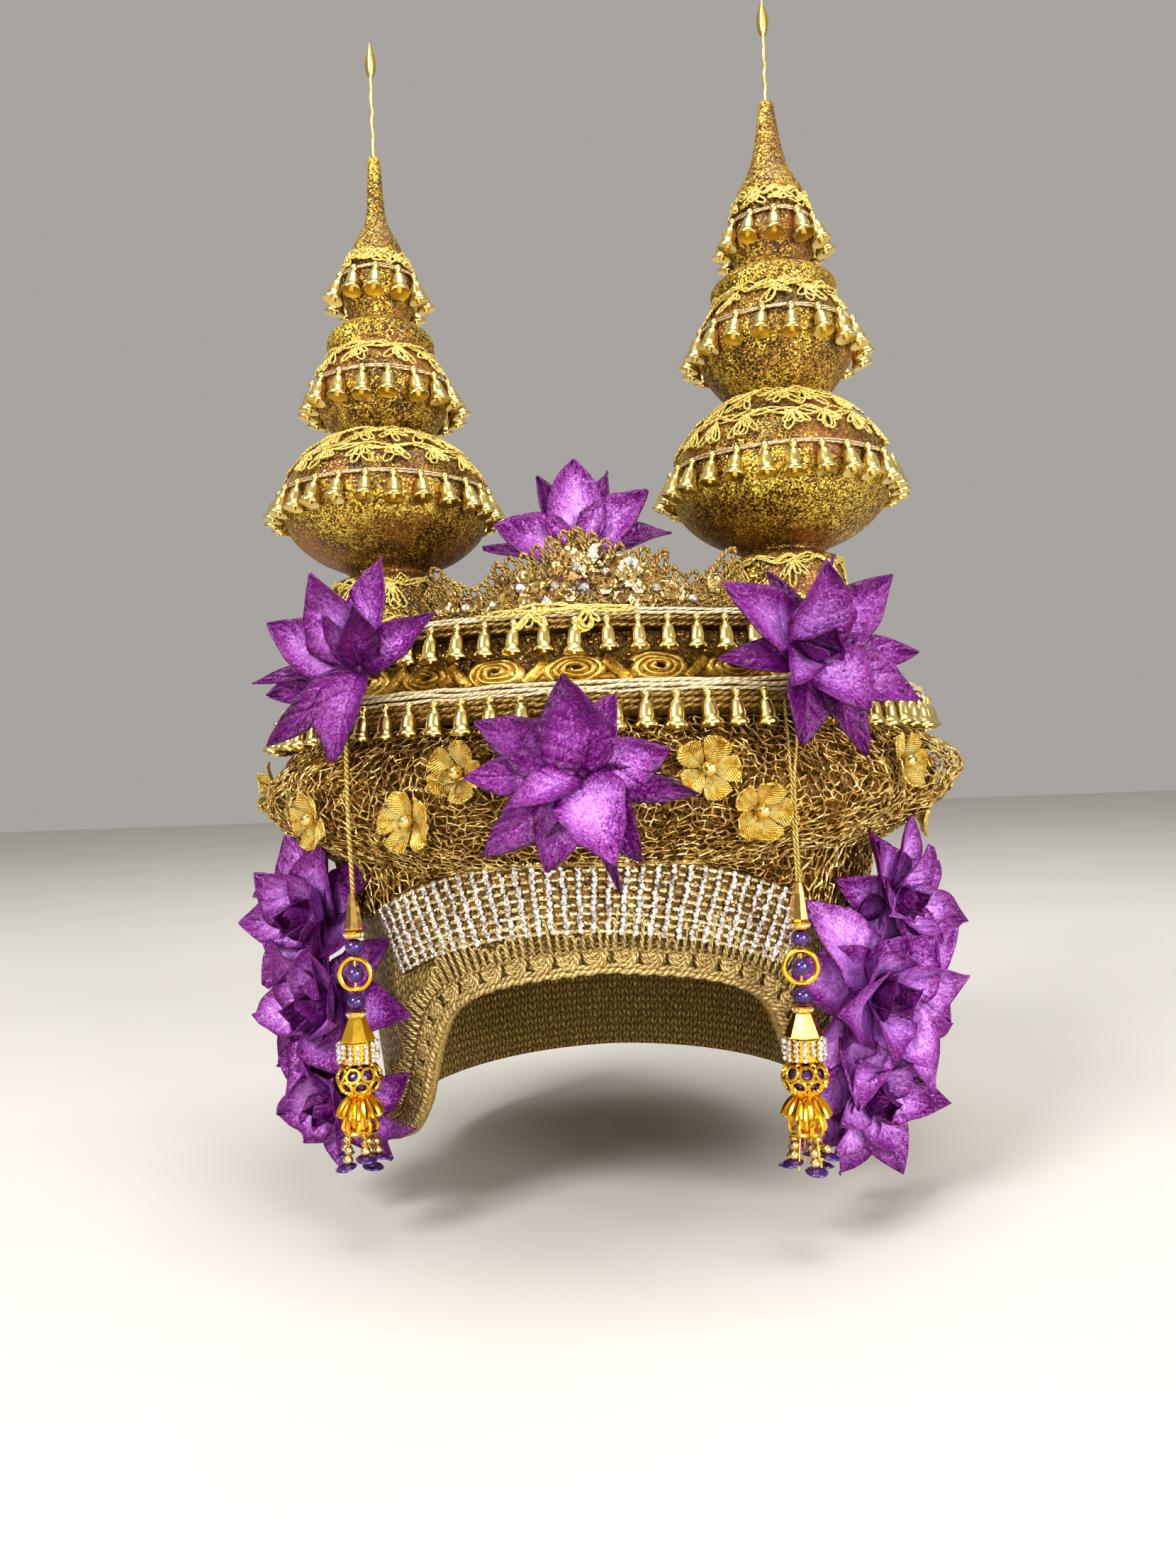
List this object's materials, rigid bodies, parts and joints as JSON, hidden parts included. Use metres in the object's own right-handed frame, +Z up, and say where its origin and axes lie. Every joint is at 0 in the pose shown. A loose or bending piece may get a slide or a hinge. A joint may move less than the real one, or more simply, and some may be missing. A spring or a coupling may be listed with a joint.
{
  "type": "thai dance headdress",
  "caption": "Twin-spired dance headdress: gold knit cap with an arched face opening, net ruffle, two boards hung with bells, lace crest, purple flowers and beaded drops.",
  "frame": {"origin": "inside crown of the cap, where the head that wears it meets the ceiling", "axes": "+Z up, the front of the headdress towards -Y, +X towards the left side of whoever wears it"},
  "size_m": [0.2788, 0.2791, 0.4588],
  "materials": {
    "lurex_knit": "coarse gold lurex knit",
    "set_stones": "foiled stones and gold cups on mesh",
    "gimp_braid": "gold gimp braid",
    "lace_net": "coarse gold lace net",
    "glitter_board": "glitter cloth over board, edge wrapped in lurex yarn",
    "bronze_glitter": "dark bronze glitter cloth",
    "satin_ribbon": "gold satin ribbon",
    "gold_lace": "gold cord lace with sequins",
    "gilt_paint": "gold glitter paint over papier mache",
    "bell_gold": "polished pale gold",
    "bead_gold": "bright gold plated beads",
    "purple_satin": "purple satin petals",
    "gold_cloth": "gold cloth petals with a pearl",
    "gold_cord": "twisted gold cord",
    "violet_pearl": "violet metallic pearl",
    "crystal_beads": "silver lined crystal beads"
  },
  "bodies": {
    "root": {"back_flower": "purple_satin", "cap": "lurex_knit", "crest": "gold_lace", "crystal_band": "set_stones", "front_flower": "purple_satin", "gold_flower_corner_left": "gold_cloth", "gold_flower_corner_right": "gold_cloth", "gold_flower_front_left": "gold_cloth", "gold_flower_front_right": "gold_cloth", "gold_flower_low_left": "gold_cloth", "gold_flower_low_right": "gold_cloth", "gold_flower_side_left": "gold_cloth", "gold_flower_side_right": "gold_cloth", "left_bowl_bells": "bell_gold", "left_corner_flower": "purple_satin", "left_drop_cone_bead": "bead_gold", "left_drop_cone_cap": "bead_gold", "left_drop_cord": "gold_cord", "left_drop_crystal_collar": "crystal_beads", "left_drop_openwork_ball": "bead_gold", "left_drop_pearl_lower": "violet_pearl", "left_drop_pearl_upper": "violet_pearl", "left_drop_ring": "bead_gold", "left_drop_tassel": "bead_gold", "left_mid_bells": "bell_gold", "left_side_flowers": "purple_satin", "left_spire_bowl": "gilt_paint", "left_spire_leaf": "bead_gold", "left_spire_mid": "gilt_paint", "left_spire_top": "gilt_paint", "left_top_bells": "bell_gold", "lower_brim": "glitter_board", "lower_brim_bells": "bell_gold", "net_ruffle": "lace_net", "right_bowl_bells": "bell_gold", "right_corner_flower": "purple_satin", "right_drop_cone_bead": "bead_gold", "right_drop_cone_cap": "bead_gold", "right_drop_cord": "gold_cord", "right_drop_crystal_collar": "crystal_beads", "right_drop_openwork_ball": "bead_gold", "right_drop_pearl_lower": "violet_pearl", "right_drop_pearl_upper": "violet_pearl", "right_drop_ring": "bead_gold", "right_drop_tassel": "bead_gold", "right_mid_bells": "bell_gold", "right_side_flowers": "purple_satin", "right_spire_bowl": "gilt_paint", "right_spire_leaf": "bead_gold", "right_spire_mid": "gilt_paint", "right_spire_top": "gilt_paint", "right_top_bells": "bell_gold", "rim_braid": "gimp_braid", "rosette_trim": "satin_ribbon", "tier_riser": "bronze_glitter", "upper_tier": "glitter_board", "upper_tier_bells": "bell_gold"}
  },
  "joints": []
}
